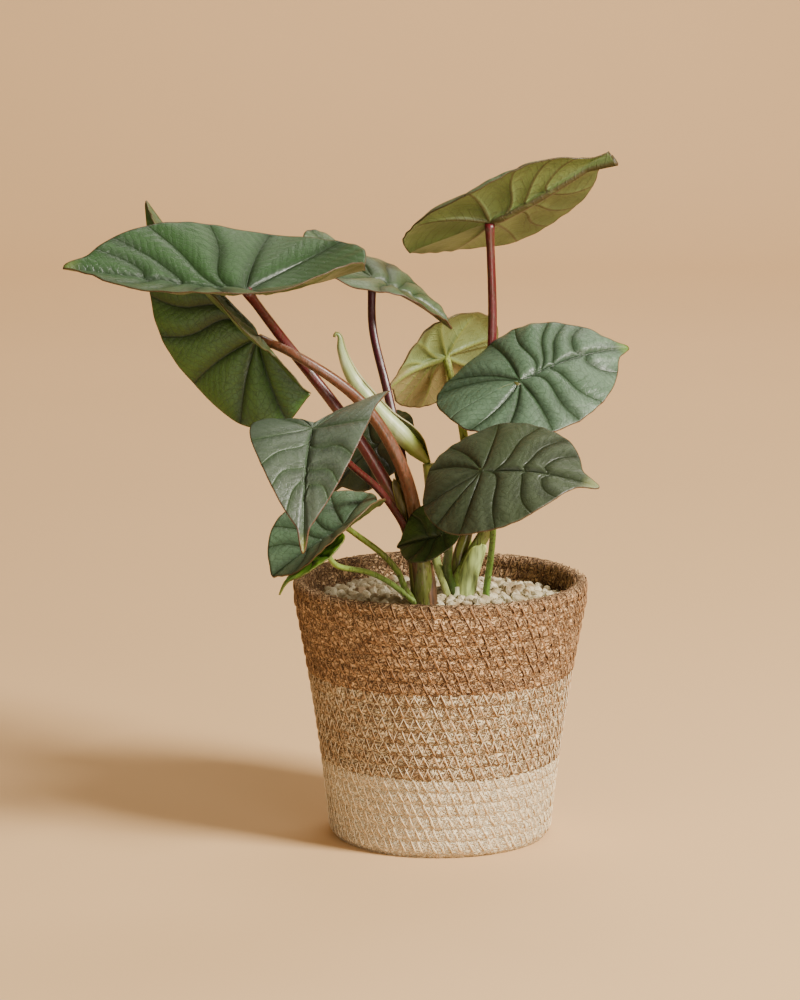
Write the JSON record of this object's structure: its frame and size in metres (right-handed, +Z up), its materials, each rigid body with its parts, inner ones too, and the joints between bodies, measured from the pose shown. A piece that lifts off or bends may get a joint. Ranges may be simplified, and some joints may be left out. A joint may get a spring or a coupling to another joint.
{
  "type": "potted plant",
  "caption": "Aroid house plant with heart-shaped silvery leaves on slender curved stalks, standing in a tapered basket of coiled rope topped with pumice gravel.",
  "frame": {"origin": "centre of the basket's flat underside", "axes": "+Z up; +X to the right and +Y to the back as the picture sees it"},
  "size_m": [0.3, 0.214, 0.3728],
  "materials": {
    "basket_rope_cream": "matte",
    "basket_rope_mixed": "matte",
    "basket_rope_brown": "matte",
    "liner": "matte",
    "soil": "matte",
    "pumice": "matte",
    "crown_left": "satin",
    "crown_right": "satin",
    "blade_upper_left": "satin",
    "stalk_upper_left": "satin",
    "blade_back_left": "satin",
    "stalk_back_left": "satin",
    "blade_front_hanging": "satin",
    "stalk_front_hanging": "satin",
    "blade_lower_left": "satin",
    "stalk_lower_left": "satin",
    "blade_small_left": "satin",
    "stalk_small_left": "satin",
    "blade_upper_middle": "satin",
    "stalk_upper_middle": "satin",
    "blade_behind_stalks": "satin",
    "stalk_behind_stalks": "satin",
    "blade_small_base": "satin",
    "stalk_small_base": "satin",
    "blade_round_middle": "satin",
    "stalk_round_middle": "satin",
    "blade_right_silver": "satin",
    "stalk_right_silver": "satin",
    "blade_right_lower": "satin",
    "stalk_right_lower": "satin",
    "blade_top_right": "satin",
    "stalk_top_right": "satin",
    "leaf_rolled": "satin",
    "stalk_rolled": "satin"
  },
  "bodies": {
    "root": {"basket_rope_cream": "basket_rope_cream", "basket_rope_mixed": "basket_rope_mixed", "basket_rope_brown": "basket_rope_brown", "liner": "liner", "soil": "soil", "pumice": "pumice", "crown_left": "crown_left", "crown_right": "crown_right", "blade_upper_left": "blade_upper_left", "stalk_upper_left": "stalk_upper_left", "blade_back_left": "blade_back_left", "stalk_back_left": "stalk_back_left", "blade_front_hanging": "blade_front_hanging", "stalk_front_hanging": "stalk_front_hanging", "blade_lower_left": "blade_lower_left", "stalk_lower_left": "stalk_lower_left", "blade_small_left": "blade_small_left", "stalk_small_left": "stalk_small_left", "blade_upper_middle": "blade_upper_middle", "stalk_upper_middle": "stalk_upper_middle", "blade_behind_stalks": "blade_behind_stalks", "stalk_behind_stalks": "stalk_behind_stalks", "blade_small_base": "blade_small_base", "stalk_small_base": "stalk_small_base", "blade_round_middle": "blade_round_middle", "stalk_round_middle": "stalk_round_middle", "blade_right_silver": "blade_right_silver", "stalk_right_silver": "stalk_right_silver", "blade_right_lower": "blade_right_lower", "stalk_right_lower": "stalk_right_lower", "blade_top_right": "blade_top_right", "stalk_top_right": "stalk_top_right", "leaf_rolled": "leaf_rolled", "stalk_rolled": "stalk_rolled"}
  },
  "joints": []
}
